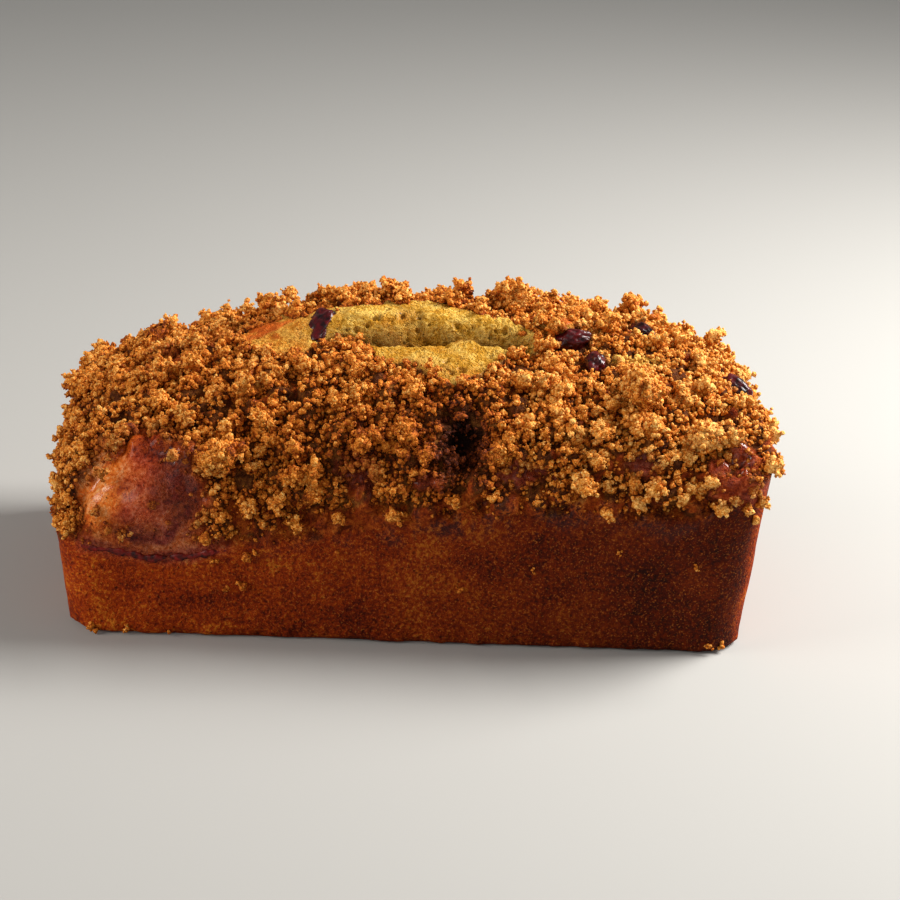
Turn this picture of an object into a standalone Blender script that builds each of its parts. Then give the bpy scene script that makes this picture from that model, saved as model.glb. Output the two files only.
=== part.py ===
"""A loaf cake with a crumble crust, out of its tin.

The lower sides keep the flare and the round corners of an 8 1/2 by 4 1/2 inch loaf tin. Above the
tin line the cake rose into a dome, and the dome split along the front of its ridge. Lumps of
crumble are baked onto the dome, and pieces of cherry show through it.

Lengths are in millimetres, and MM turns them to metres where a mesh or an object is placed.
X runs along the loaf, the split faces -Y, and the base lies on Z = 0.
"""
import math
import random

import bmesh
import bpy
from mathutils import Matrix, Vector, noise

MM = 0.001

# The tin's inside, which the base and the smooth lower sides take.
BASE_LENGTH = 203.0
BASE_WIDTH = 99.0
FLARE = math.tan(math.radians(5.75))
CORNER_RADIUS = 12.0
FOOT_RADIUS = 2.5
FOOT_STEPS = 2

# The dome. The tin line is where the cake stops touching the tin.
RIDGE_HEIGHT = 82.0
FRONT_LINE_LEFT = 30.0
FRONT_LINE_RIGHT = 45.5
BACK_LINE = 44.0
END_LINE_RISE = 12.0
LEFT_END_POWER = 2.3
RIGHT_END_POWER = 5.2
END_ROOT = 3.2
ACROSS_POWER = 2.6
ACROSS_ROOT = 2.3
RIGHT_SWELL = 3.0

# The split in the dome's front: the back wall rises behind a crevice, and a lower lip lies before it.
SPLIT_Y = -10.6
SPLIT_RISE = 6.5
CREVICE_DEPTH = 6.0
CREVICE_REACH = 2.6

# The bare mound at the front left swells out over the jam line at its foot.
MOUND_X = -78.0
MOUND_Z = 47.0
MOUND_SWELL = 3.6

# Unevenness of the crust, and the deep hollow at the front.
RELIEF = 0.8
RELIEF_LENGTH = 9.0
HOLLOW_DEPTH = 5.0
HOLLOW_X = 19.0
HOLLOW_Z = 67.0

# Cells of the dome's grid along and across, and how far they crowd towards the rim.
CELLS_ALONG = 60
CELLS_ACROSS = 44
CROWDING = 0.8

# Crumble lumps. The big ones and the perched ones are solids fused to the crust, and the others are
# relief of the crust itself, as high as LUMP_SHOWS of their radius.
BIG_LUMPS = 12
BIG_LUMP_SIZE = (11.5, 14.5)
PERCHED_LUMPS = 78
PERCHED_LUMP_SIZE = (6.5, 9.5)
LOW_LUMPS = 520
LOW_LUMP_SIZE = (7.0, 11.0)
LUMP_SHOWS = 0.7
LUMP_LIFT = 0.14
SEED = 7

# The gap between a cherry piece and the socket that it sits in.
SEAT_GAP = 0.3


def smooth_step(low, high, value):
    """0 below low, 1 above high, and a smooth rise between them."""
    share = min(max((value - low) / (high - low), 0.0), 1.0)
    return share * share * (3.0 - 2.0 * share)


def hump(across, reach_across, along, reach_along):
    """A smooth hump, 1 at its middle, from two distances and how far it reaches along each."""
    return math.exp(-((across / reach_across) ** 2) - (along / reach_along) ** 2)


def outline(s, t, height):
    """Point of the tin's wall at a height, in the direction of (s, t), a point on a square's rim."""
    half_length = BASE_LENGTH / 2 + FLARE * height
    half_width = BASE_WIDTH / 2 + FLARE * height
    x, y = s * half_length, t * half_width
    over_x = abs(x) - (half_length - CORNER_RADIUS)
    over_y = abs(y) - (half_width - CORNER_RADIUS)
    if over_x > 0 and over_y > 0:
        turn = math.atan2(over_y, over_x)
        x = math.copysign(half_length - CORNER_RADIUS * (1 - math.cos(turn)), x)
        y = math.copysign(half_width - CORNER_RADIUS * (1 - math.sin(turn)), y)
    return x, y


def plan(s, t, height):
    """Place of (s, t), a point of the square from -1 to 1, in the tin's outline at a height."""
    ring = max(abs(s), abs(t))
    if ring == 0:
        return 0.0, 0.0
    x, y = outline(s / ring, t / ring, height)
    return ring * x, ring * y


def tin_line(x, y):
    """Height at which the cake leaves the tin's wall: low at the front left, high at the right end."""
    front = FRONT_LINE_LEFT + (FRONT_LINE_RIGHT - FRONT_LINE_LEFT) * smooth_step(-70, 45, x)
    front += END_LINE_RISE * smooth_step(84, 104, x)
    back = BACK_LINE + 1.5 * math.sin(x / 27)
    return front + (back - front) * smooth_step(-42, 30, y)


def split_window(x, left, left_full, right_full, right):
    """How open the split is along the loaf."""
    return smooth_step(left, left_full, x) * (1 - smooth_step(right_full, right, x))


def split_shape(x, y):
    """What the split adds to the dome: the risen back half, and the crevice before it."""
    risen = smooth_step(SPLIT_Y - 1, SPLIT_Y + 8, y) * (1 - smooth_step(14, 50, y))
    rise = SPLIT_RISE * split_window(x, -56, -16, 34, 70) * risen
    line = SPLIT_Y + 0.7 * math.sin(x / 9)
    crevice = split_window(x, -32, -12, 26, 44) * math.exp(-(((y - line) / CREVICE_REACH) ** 2))
    return rise - CREVICE_DEPTH * crevice


def crust_point(s, t):
    """Point of the dome for (s, t), before its relief."""
    x, y = plan(s, t, BACK_LINE)
    edge = tin_line(x, y)
    x, y = plan(s, t, edge)
    power = LEFT_END_POWER if s < 0 else RIGHT_END_POWER
    along = max(0.0, 1 - abs(s) ** power) ** (1 / END_ROOT)
    across = max(0.0, 1 - abs(t) ** ACROSS_POWER) ** (1 / ACROSS_ROOT)
    z = edge + (RIDGE_HEIGHT - edge) * along * across
    inside = min(1.0, 2.0 * along * across)
    z += inside * (split_shape(x, y) + RIGHT_SWELL * hump(x - 72, 20, y - 4, 26))
    swell = MOUND_SWELL * hump(x - MOUND_X, 20, z - MOUND_Z, 12) * smooth_step(-20, -40, y)
    return Vector((x - 0.25 * swell, y - swell, z))


def crust_normal(s, t):
    """Outward direction of the dome at (s, t)."""
    step = 0.01
    inner_s = min(max(s, -1 + step), 1 - step)
    inner_t = min(max(t, -1 + step), 1 - step)
    along = crust_point(inner_s + step, inner_t) - crust_point(inner_s - step, inner_t)
    across = crust_point(inner_s, inner_t + step) - crust_point(inner_s, inner_t - step)
    return along.cross(across).normalized()


def bare_spots():
    """Ellipsoids where crust, crumb or cherry stain shows bare: middle, and reach along X, Y and Z."""
    lip = ((12, -12, 84), (29, 19, 20))
    back_wall = ((-5, -4, 86), (40, 9, 20))
    left_skin = ((-40, -7, 82), (12, 9, 20))
    right_skin = ((40, -4, 86), (9, 6, 20))
    crumb_window = ((67, -14, 82), (8, 4, 8))
    mound = ((MOUND_X, -52, MOUND_Z - 3), (19, 16, 14))
    stains = [((x, -52, z), (reach, 10, 4.5)) for x, z, reach in ((-14, 56, 7), (33, 56, 8), (68, 60, 7))]
    shoulder = ((94, -52, 54), (11, 12, 3.5))
    hollow = ((HOLLOW_X, -44, HOLLOW_Z), (3.5, 9, 7))
    return [lip, back_wall, left_skin, right_skin, crumb_window, mound, *stains, shoulder, hollow]


def is_bare(point, margin):
    """Whether a place lies in a bare spot, grown by a margin."""
    for middle, reach in bare_spots():
        apart = [(point[i] - middle[i]) / (reach[i] + margin) for i in range(3)]
        if sum(a * a for a in apart) < 1:
            return True
    return False


def relief(point, normal, lumps):
    """The crust's uneven surface: low lumps of crumble, a gentle swell, and the hollow at the front."""
    lump_height = 0.0
    for middle, _, size in lumps:
        apart = (point - middle).length
        if apart < size / 2:
            ball = math.sqrt((size / 2) ** 2 - apart**2)
            lump_height = max(lump_height, ball - (1 - LUMP_SHOWS) * size / 2)
    swell = RELIEF * noise.noise(point / RELIEF_LENGTH)
    dip = hump(point.x - HOLLOW_X, 4.5, point.z - HOLLOW_Z, 6) * smooth_step(-30, -38, point.y)
    return normal * (lump_height + swell - HOLLOW_DEPTH * dip)


def crowded(share):
    """A grid line's place from -1 to 1, crowded towards the rim, where the dome is steepest."""
    return (1 - CROWDING) * share + CROWDING * math.sin(share * math.pi / 2)


def foot_rings():
    """Height and inset of each ring below the tin line: the wall's end, then the round foot."""
    turns = [math.pi / 2 * step / FOOT_STEPS for step in range(FOOT_STEPS + 1)]
    return [(FOOT_RADIUS * (1 - math.sin(turn)), FOOT_RADIUS * (1 - math.cos(turn))) for turn in turns]


def ring_point(s, t, height, inset):
    """Point of the side at a height, drawn in from the tin's wall by an inset."""
    x, y = outline(s, t, height)
    shrink_x = 1 - inset / (BASE_LENGTH / 2)
    shrink_y = 1 - inset / (BASE_WIDTH / 2)
    return Vector((x * shrink_x, y * shrink_y, height))


def new_object(name, mesh, colour, roughness):
    """Put a mesh in the scene under its own name and its own material."""
    material = bpy.data.materials.new(name + "_surface")
    material.use_nodes = True
    shader = material.node_tree.nodes["Principled BSDF"]
    shader.inputs["Base Color"].default_value = (*colour, 1.0)
    shader.inputs["Roughness"].default_value = roughness
    shader.inputs["Metallic"].default_value = 0.0
    mesh.materials.append(material)
    obj = bpy.data.objects.new(name, mesh)
    bpy.context.scene.collection.objects.link(obj)
    return obj


def loaf_mesh(low_lumps):
    """The loaf alone: a grid shaped to the dome, its rim extruded down the tin's wall, and a flat base."""
    shape = bmesh.new()
    bmesh.ops.create_grid(shape, x_segments=CELLS_ALONG, y_segments=CELLS_ACROSS, size=1)
    place_s = shape.verts.layers.float.new("s")
    place_t = shape.verts.layers.float.new("t")
    for vert in shape.verts:
        s, t = crowded(vert.co.x), crowded(vert.co.y)
        vert[place_s], vert[place_t] = s, t
        point = crust_point(s, t)
        if not vert.is_boundary:
            point += relief(point, crust_normal(s, t), low_lumps)
        vert.co = point * MM
    rim = [edge for edge in shape.edges if edge.is_boundary]
    for height, inset in foot_rings():
        grown = bmesh.ops.extrude_edge_only(shape, edges=rim)["geom"]
        rim = [item for item in grown if isinstance(item, bmesh.types.BMEdge) and item.is_boundary]
        for vert in {vert for edge in rim for vert in edge.verts}:
            vert.co = ring_point(vert[place_s], vert[place_t], height, inset) * MM
    bmesh.ops.contextual_create(shape, geom=rim)
    bmesh.ops.recalc_face_normals(shape, faces=shape.faces)
    mesh = bpy.data.meshes.new("loaf")
    shape.to_mesh(mesh)
    shape.free()
    return mesh


def lump_mesh(size, rounds, chance):
    """One lump of crumble: a knobbly ball, longer one way than the others."""
    shape = bmesh.new()
    bmesh.ops.create_icosphere(shape, subdivisions=rounds, radius=size / 2)
    knobs = Vector([chance.uniform(-99, 99) for _ in range(3)])
    for vert in shape.verts:
        vert.co *= 1 + 0.45 * noise.noise(vert.co / size * 2.2 + knobs) + chance.uniform(-0.08, 0.08)
    stretch = Matrix.Diagonal((chance.uniform(1.0, 1.2), chance.uniform(0.85, 1.0), 0.85, 1.0))
    turn = Matrix.Rotation(chance.uniform(0, math.tau), 4, "Z")
    shape.transform(Matrix.Scale(MM, 4) @ turn @ stretch)
    mesh = bpy.data.meshes.new("lump")
    shape.to_mesh(mesh)
    shape.free()
    return mesh


def scatter(wanted, sizes, spacing, taken, cherries, chance):
    """Places for lumps: apart from each other by their size, off the bare spots and the cherries."""
    places = []
    for _ in range(wanted * 60):
        if len(places) == wanted:
            break
        s, t = (math.sin(chance.uniform(-1, 1) * math.pi / 2) * 0.998 for _ in range(2))
        size = chance.uniform(*sizes)
        point, normal = crust_point(s, t), crust_normal(s, t)
        crowd = any((point - other).length < spacing * (size + reach) / 2 for other, reach in taken)
        by_cherry = any((point - middle).length < size * 0.62 + reach for middle, reach in cherries)
        if crowd or by_cherry or is_bare(point, 0.35 * size):
            continue
        taken.append((point, size))
        places.append((point, normal, size))
    return places


def cherry_places():
    """The cherry pieces that show: name, place on the square of the dome, length, and how deep they sit."""
    return [
        ("cherry_left_of_split", (-0.268, -0.09), 11.0, 0.12),
        ("cherry_right_of_split", (0.46, -0.13), 10.0, 0.14),
        ("cherry_front_right", (0.52, -0.32), 9.0, 0.14),
        ("cherry_crown", (0.665, 0.10), 9.0, 0.10),
        ("cherry_right_end", (0.935, -0.24), 10.0, 0.12),
    ]


def cherry_shape(length, grow, seed):
    """A piece of cooked cherry: a soft dented ball, longer than high, grown all round by grow."""
    shape = bmesh.new()
    bmesh.ops.create_icosphere(shape, subdivisions=2, radius=1)
    for vert in shape.verts:
        dent = 1 + 0.22 * noise.noise(vert.co * 1.3 + Vector((seed * 3.7, 0, 0)))
        reach = Vector((length / 2, length * 0.40, length * 0.36)) * dent
        direction = vert.co.copy()
        vert.co = Vector([direction[i] * (reach[i] + grow) for i in range(3)]) * MM
    mesh = bpy.data.meshes.new("cherry")
    shape.to_mesh(mesh)
    shape.free()
    return mesh


def stand_on(obj, point, normal, turn):
    """Place an object at a point of the crust, upright on it, and turned about the upright."""
    upright = normal.to_track_quat("Z", "Y")
    obj.rotation_mode = "QUATERNION"
    obj.rotation_quaternion = upright @ Matrix.Rotation(turn, 3, "Z").to_quaternion()
    obj.location = point * MM


def combine(obj, others, operation, solver):
    """Join or cut an object with a collection of others, apply it, and remove the others."""
    group = bpy.data.collections.new("group")
    bpy.context.scene.collection.children.link(group)
    for other in others:
        bpy.context.scene.collection.objects.unlink(other)
        group.objects.link(other)
    modifier = obj.modifiers.new("combine", "BOOLEAN")
    modifier.operation = operation
    modifier.operand_type = "COLLECTION"
    modifier.collection = group
    modifier.solver = solver
    bpy.context.view_layer.update()
    graph = bpy.context.evaluated_depsgraph_get()
    result = bpy.data.meshes.new_from_object(obj.evaluated_get(graph))
    obj.modifiers.clear()
    obj.data = result
    for other in others:
        bpy.data.objects.remove(other)
    bpy.data.collections.remove(group)


def keep_outer_shell(obj):
    """Keep the largest closed shell: a sealed hollow is filled, and a loose scrap is dropped."""
    shape = bmesh.new()
    shape.from_mesh(obj.data)
    shells, seen = [], set()
    for start in shape.faces:
        if start in seen:
            continue
        seen.add(start)
        shell, frontier = [start], [start]
        while frontier:
            for edge in frontier.pop().edges:
                for face in edge.link_faces:
                    if face not in seen:
                        seen.add(face)
                        shell.append(face)
                        frontier.append(face)
        shells.append(shell)
    shells.sort(key=len)
    scraps = [face for shell in shells[:-1] for face in shell]
    bmesh.ops.delete(shape, geom=scraps, context="FACES")
    shape.to_mesh(obj.data)
    shape.free()


def main():
    for obj in list(bpy.data.objects):
        bpy.data.objects.remove(obj)
    chance = random.Random(SEED)

    seats = []
    for name, (s, t), length, depth in cherry_places():
        normal = crust_normal(s, t)
        seats.append((name, crust_point(s, t) - normal * depth * length, normal, length))
    clear = [(point, length / 2) for _, point, _, length in seats]
    taken = []
    big = scatter(BIG_LUMPS, BIG_LUMP_SIZE, 1.6, taken, clear, chance)
    perched = scatter(PERCHED_LUMPS, PERCHED_LUMP_SIZE, 1.5, taken, clear, chance)
    low = scatter(LOW_LUMPS, LOW_LUMP_SIZE, 0.8, taken, clear, chance)
    loaf = new_object("loaf_cake", loaf_mesh(low), (0.40, 0.20, 0.07), 0.85)

    sockets = []
    for index, (name, point, normal, length) in enumerate(seats):
        turn = 0.9 * index
        piece = new_object(name, cherry_shape(length, 0.0, index), (0.16, 0.01, 0.015), 0.25)
        socket = new_object(name + "_socket", cherry_shape(length, SEAT_GAP, index), (0, 0, 0), 1.0)
        stand_on(piece, point, normal, turn)
        stand_on(socket, point, normal, turn)
        sockets.append(socket)
    combine(loaf, sockets, "DIFFERENCE", "EXACT")

    lumps = []
    for places, rounds in ((big, 2), (perched, 1)):
        for point, normal, size in places:
            lump = new_object("lump", lump_mesh(size, rounds, chance), (0.6, 0.35, 0.15), 0.9)
            stand_on(lump, point + normal * LUMP_LIFT * size, normal, 0.0)
            lumps.append(lump)
    combine(loaf, lumps, "UNION", "MANIFOLD")
    keep_outer_shell(loaf)


main()
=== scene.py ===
import math
import random

import bpy
import numpy as np
from mathutils import Matrix, Vector, noise
from mathutils.bvhtree import BVHTree
from mathutils.kdtree import KDTree


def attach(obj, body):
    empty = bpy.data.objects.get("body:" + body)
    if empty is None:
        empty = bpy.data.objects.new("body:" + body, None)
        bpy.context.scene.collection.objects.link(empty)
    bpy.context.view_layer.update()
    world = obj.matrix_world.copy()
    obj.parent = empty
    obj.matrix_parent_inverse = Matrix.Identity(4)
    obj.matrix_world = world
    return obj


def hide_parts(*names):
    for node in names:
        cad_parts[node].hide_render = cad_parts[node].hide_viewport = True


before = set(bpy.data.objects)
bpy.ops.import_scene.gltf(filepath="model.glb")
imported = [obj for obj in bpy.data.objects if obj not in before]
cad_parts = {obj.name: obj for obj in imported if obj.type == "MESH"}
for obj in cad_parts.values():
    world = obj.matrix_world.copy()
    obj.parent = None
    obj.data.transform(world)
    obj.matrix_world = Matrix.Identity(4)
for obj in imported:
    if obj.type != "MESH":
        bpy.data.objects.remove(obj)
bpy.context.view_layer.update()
print("packed loaf loaded")

# A loaf cake out of its tin: smooth flared sides below the tin line, a split dome above it under a
# crust of crumble, cherry pieces and sticky cherry juice. All lengths here are millimetres.
mm = 0.001


# Small helpers

def fromHex(code):
    channels = [int(code[i:i + 2], 16) / 255 for i in (1, 3, 5)]
    return (*[c / 12.92 if c <= 0.04045 else ((c + 0.055) / 1.055) ** 2.4 for c in channels], 1.0)


def smoothStep(low, high, value):  # from 0 at low to 1 at high, which may lie below low
    share = np.clip((value - low) / (high - low), 0.0, 1.0)
    return share * share * (3.0 - 2.0 * share)


def hump(across, reachAcross, along, reachAlong):
    return np.exp(-((across / reachAcross) ** 2) - (along / reachAlong) ** 2)


def unevenness(points, grain, seed=0):  # soft noise from -1 to 1, its swells about a grain apart
    shift = Vector((17.3, 5.1, 9.7)) * seed
    return np.array([noise.noise(Vector(point) / grain + shift) for point in points])


def clearSelection():
    if bpy.context.object and bpy.context.object.mode != "OBJECT":
        bpy.ops.object.mode_set(mode="OBJECT")
    bpy.ops.object.select_all(action="DESELECT")


def makeActive(piece):
    clearSelection()
    piece.select_set(True)
    bpy.context.view_layer.objects.active = piece


def readPoints(piece):  # vertex places in millimetres
    places = np.zeros(len(piece.data.vertices) * 3)
    piece.data.vertices.foreach_get("co", places)
    return places.reshape(-1, 3) / mm


def writePoints(piece, points):
    piece.data.vertices.foreach_set("co", (np.asarray(points) * mm).ravel())
    piece.data.update()


def setMask(piece, name, values):
    layer = piece.data.attributes.get(name) or piece.data.attributes.new(name, "FLOAT", "POINT")
    layer.data.foreach_set("value", np.asarray(values, np.float32))


def readMask(piece, name):
    values = np.zeros(len(piece.data.vertices), np.float32)
    piece.data.attributes[name].data.foreach_get("value", values)
    return values


def addNode(tree, kind, inputs, out=0, stops=(), **settings):  # gives the output that is asked for
    node = tree.nodes.new(kind)
    for name, value in settings.items():
        setattr(node, name, value)
    for place, value in inputs.items():
        if isinstance(value, bpy.types.NodeSocket):
            tree.links.new(value, node.inputs[place])
        else:
            node.inputs[place].default_value = value
    for index, (place, colour) in enumerate(stops):
        ramp = node.color_ramp.elements
        element = ramp[index] if index < len(ramp) else ramp.new(place)
        element.position = place
        element.color = fromHex(colour)
    return node.outputs[out] if len(node.outputs) else node


# The forms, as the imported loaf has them

tin = {
    "baseLength": 203.0,
    "baseWidth": 99.0,
    "flare": math.tan(math.radians(5.75)),
    "cornerRadius": 12.0,
    "footRadius": 2.5,
}
dome = {
    "ridge": 82.0,
    "frontLineLeft": 30.0,
    "frontLineRight": 45.5,
    "backLine": 44.0,
    "endLineRise": 12.0,
    "leftEndPower": 2.3,
    "rightEndPower": 5.2,
    "endRoot": 3.2,
    "acrossPower": 2.6,
    "acrossRoot": 2.3,
    "rightSwell": 3.0,
}
split = {"y": -10.6, "rise": 6.5, "crevice": 6.0, "creviceReach": 2.6}
mound = {"x": -78.0, "z": 47.0, "swell": 3.6}
hollow = {"x": 19.0, "z": 67.0, "depth": 5.0}

# Ellipsoids where the crust shows bare: middle and reach
bareSpots = {
    "lip": ((12, -12, 84), (29, 19, 20)),
    "backWall": ((-5, -4, 86), (40, 9, 20)),
    "leftSkin": ((-40, -7, 82), (12, 9, 20)),
    "rightSkin": ((40, -4, 86), (9, 6, 20)),
    "crumbWindow": ((67, -14, 82), (8, 4, 8)),
    "mound": ((mound["x"], -52, mound["z"] - 3), (19, 16, 14)),
    "stainLeft": ((-14, -52, 56), (7, 10, 4.5)),
    "stainMiddle": ((33, -52, 56), (8, 10, 4.5)),
    "stainRight": ((68, -52, 60), (7, 10, 4.5)),
    "shoulder": ((94, -52, 54), (11, 12, 3.5)),
    "hollow": ((hollow["x"], -44, hollow["z"]), (3.5, 9, 7)),
}


def outline(s, t, height):
    halfLength = tin["baseLength"] / 2 + tin["flare"] * height
    halfWidth = tin["baseWidth"] / 2 + tin["flare"] * height
    radius = tin["cornerRadius"]
    x, y = s * halfLength, t * halfWidth
    overX = np.abs(x) - (halfLength - radius)
    overY = np.abs(y) - (halfWidth - radius)
    corner = (overX > 0) & (overY > 0)
    turn = np.arctan2(overY, overX)
    roundX = np.copysign(halfLength - radius * (1 - np.cos(turn)), x)
    roundY = np.copysign(halfWidth - radius * (1 - np.sin(turn)), y)
    return np.where(corner, roundX, x), np.where(corner, roundY, y)


def plan(s, t, height):
    ring = np.maximum(np.maximum(np.abs(s), np.abs(t)), 1e-9)
    x, y = outline(s / ring, t / ring, height)
    return ring * x, ring * y


def tinLine(x, y):
    rise = dome["frontLineRight"] - dome["frontLineLeft"]
    front = dome["frontLineLeft"] + rise * smoothStep(-70, 45, x) + dome["endLineRise"] * smoothStep(84, 104, x)
    back = dome["backLine"] + 1.5 * np.sin(x / 27)
    return front + (back - front) * smoothStep(-42, 30, y)


def openSplit(x, left, leftFull, rightFull, right):
    return smoothStep(left, leftFull, x) * (1 - smoothStep(rightFull, right, x))


def splitShape(x, y):
    risen = smoothStep(split["y"] - 1, split["y"] + 8, y) * (1 - smoothStep(14, 50, y))
    rise = split["rise"] * openSplit(x, -56, -16, 34, 70) * risen
    line = split["y"] + 0.7 * np.sin(x / 9)
    crevice = openSplit(x, -32, -12, 26, 44) * np.exp(-(((y - line) / split["creviceReach"]) ** 2))
    return rise - split["crevice"] * crevice


def crustPoint(s, t):
    x, y = plan(s, t, dome["backLine"])
    edge = tinLine(x, y)
    x, y = plan(s, t, edge)
    power = np.where(s < 0, dome["leftEndPower"], dome["rightEndPower"])
    along = np.maximum(0.0, 1 - np.abs(s) ** power) ** (1 / dome["endRoot"])
    across = np.maximum(0.0, 1 - np.abs(t) ** dome["acrossPower"]) ** (1 / dome["acrossRoot"])
    z = edge + (dome["ridge"] - edge) * along * across
    inside = np.minimum(1.0, 2.0 * along * across)
    z = z + inside * (splitShape(x, y) + dome["rightSwell"] * hump(x - 72, 20, y - 4, 26))
    swell = mound["swell"] * hump(x - mound["x"], 20, z - mound["z"], 12) * smoothStep(-20, -40, y)
    return np.stack([x - 0.25 * swell, y - swell, z], axis=-1)


def crustNormal(s, t):
    step = 0.01
    s = np.clip(s, -1 + step, 1 - step)
    t = np.clip(t, -1 + step, 1 - step)
    along = crustPoint(s + step, t) - crustPoint(s - step, t)
    across = crustPoint(s, t + step) - crustPoint(s, t - step)
    upright = np.cross(along, across)
    return upright / np.linalg.norm(upright, axis=-1, keepdims=True)


def spotReach(points, spots, names, margin=0.0):  # below 1 inside a spot, for each point the nearest one's
    nearest = np.full(len(points), 9.0)
    for name in names:
        middle, reach = spots[name]
        apart = (points - np.array(middle)) / (np.array(reach) + margin)
        nearest = np.minimum(nearest, np.sqrt((apart ** 2).sum(axis=1)))
    return nearest


# Cherry pieces: place on the dome, length, and how deep they sit

cherries = {
    "cherry_left_of_split": ((-0.268, -0.09), 11.0, 0.12),
    "cherry_right_of_split": ((0.46, -0.13), 10.0, 0.14),
    "cherry_front_right": ((0.52, -0.32), 9.0, 0.14),
    "cherry_crown": ((0.665, 0.10), 9.0, 0.10),
    "cherry_right_end": ((0.935, -0.24), 10.0, 0.12),
}

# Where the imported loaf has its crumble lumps: how many, their sizes and how far apart

lumpKinds = {
    "big": (12, (11.5, 14.5), 1.6),
    "perched": (78, (6.5, 9.5), 1.5),
    "low": (520, (7.0, 11.0), 0.8),
}


def seatOf(name):
    (s, t), length, depth = cherries[name]
    s, t = np.array([s]), np.array([t])
    normal = crustNormal(s, t)[0]
    return crustPoint(s, t)[0] - normal * depth * length, normal, length


def scatterLumps():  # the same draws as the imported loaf, so that its lumps stand where its lumps stand
    chance = random.Random(7)
    tries = 60 * sum(wanted for wanted, _, _ in lumpKinds.values())
    draws = np.array([chance.random() for _ in range(3 * tries)]).reshape(-1, 3)
    s, t = (np.sin((2 * draws[:, i] - 1) * math.pi / 2) * 0.998 for i in (0, 1))
    points, normals = crustPoint(s, t), crustNormal(s, t)
    seats = [seatOf(name) for name in cherries]
    fruit = np.array([middle for middle, _, _ in seats])
    fruitReach = np.array([length / 2 for _, _, length in seats])
    taken = np.zeros((0, 4))
    places, used = {}, 0
    for kind, (wanted, (smallest, largest), spacing) in lumpKinds.items():
        places[kind] = []
        for _ in range(wanted * 60):
            if len(places[kind]) == wanted:
                break
            point, normal = points[used], normals[used]
            size = smallest + (largest - smallest) * draws[used, 2]
            used += 1
            apart = np.linalg.norm(taken[:, :3] - point, axis=1)
            if (apart < spacing * (size + taken[:, 3]) / 2).any():
                continue
            if (np.linalg.norm(fruit - point, axis=1) < size * 0.62 + fruitReach).any():
                continue
            if spotReach(point[None], bareSpots, bareSpots, 0.35 * size)[0] < 1:
                continue
            taken = np.vstack([taken, [*point, size]])
            places[kind].append((point, normal, size))
    return places


lumps = scatterLumps()
print("lumps placed", {kind: len(places) for kind, places in lumps.items()})


# The loaf itself: crust, split and tin-baked sides in one skin

core = {
    "linesAlong": 356,
    "linesAcross": 200,
    "fineness": 1.5,      # how much denser the lines lie in the split
    "wallBands": 20,
    "footSteps": 4,
    "lumpShows": 0.7,
    "sunk": 2.8,          # crust below the crumble gives room for its bits
    "hollowDepth": 7.0,
    "slitDepth": 6.0,
    "swell": 0.8,
    "swellLength": 9.0,
}


def spacedLines(count, pathAt, isFine):  # grid lines evenly along the crust's own length, denser where fine
    share = np.linspace(-1, 1, 6001)
    path = pathAt(share)
    steps = np.linalg.norm(np.diff(path, axis=0), axis=1)
    weight = 1 + core["fineness"] * isFine((path[1:] + path[:-1]) / 2)
    length = np.concatenate([[0], np.cumsum(steps * weight)])
    return np.interp(np.linspace(0, length[-1], count + 1), length, share)


def lumpRelief(points, places):
    height = np.zeros(len(points))
    for middle, _, size in places:
        near = np.where(np.abs(points - middle).max(axis=1) < size / 2)[0]
        apart = np.linalg.norm(points[near] - middle, axis=1)
        ball = np.sqrt(np.maximum((size / 2) ** 2 - apart ** 2, 0))
        height[near] = np.maximum(height[near], ball - (1 - core["lumpShows"]) * size / 2)
    return height


# Where the crumble is open or thin, for the looks: middle and reach
skinSpots = {
    "mound": ((-77, -50, 45.5), (19, 26, 19.5)),
    "stainLeft": ((-14, -52, 56), (7, 14, 5.5)),
    "stainCentre": ((6, -52, 54), (4.5, 10, 3.0)),
    "stainMiddle": ((34, -52, 57), (8, 10, 3.8)),
    "stainRight": ((69, -52, 61), (6, 10, 3.4)),
    "shoulder": ((97, -50, 55), (10, 14, 4.2)),
    "belly": ((-17, -54, 41), (17, 10, 3.6)),
    "thinLeft": ((-75, -9, 74), (8, 6, 8)),
    "thinSplit": ((-58, -2, 82), (7, 6, 9)),
    "rightSkin": ((42.5, -1.5, 86), (6.5, 4.2, 9)),
    "crumbWindow": ((67, -14, 82), (8, 4, 8)),
    "glazeRight": ((97.5, -51, 64.5), (4.4, 8, 6.0)),
    "glazeFront": ((92, -52, 61.5), (4.5, 8, 2.6)),
    "glazeLeft": ((-90, -50, 47), (3.4, 8, 3.4)),
    "glazeMiddle": ((-81, -53, 47), (3.0, 8, 2.8)),
    "glazeTop": ((-69, -47, 57.5), (5.0, 8, 4.0)),
}
# Edges of the bare split from above, from left to right: x, front y and back y
splitEdges = np.array([
    (-54, -6, -4), (-52, -10, 0), (-47.5, -15, 5), (-40, -17, 5), (-34, -20, 4), (-30, -13, 4), (-26, -10, 4.5),
    (-20, -9.5, 3), (-15, -9.5, 6), (-11, -20, 5), (-5, -23, 8), (0, -24, 11), (4, -27, 11), (9, -30.5, 9),
    (13, -34, 5), (17.5, -30, 2), (23.5, -24.5, -2), (28, -19, -2.5), (31, -12, -4.5), (35, -9.5, -5.5), (39, -8, -7),
]).T
# Where the juice sagged over the tin line at the foot of the mound
sag = {"x": -72.0, "reach": 13.0, "depth": 3.0}


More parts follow.
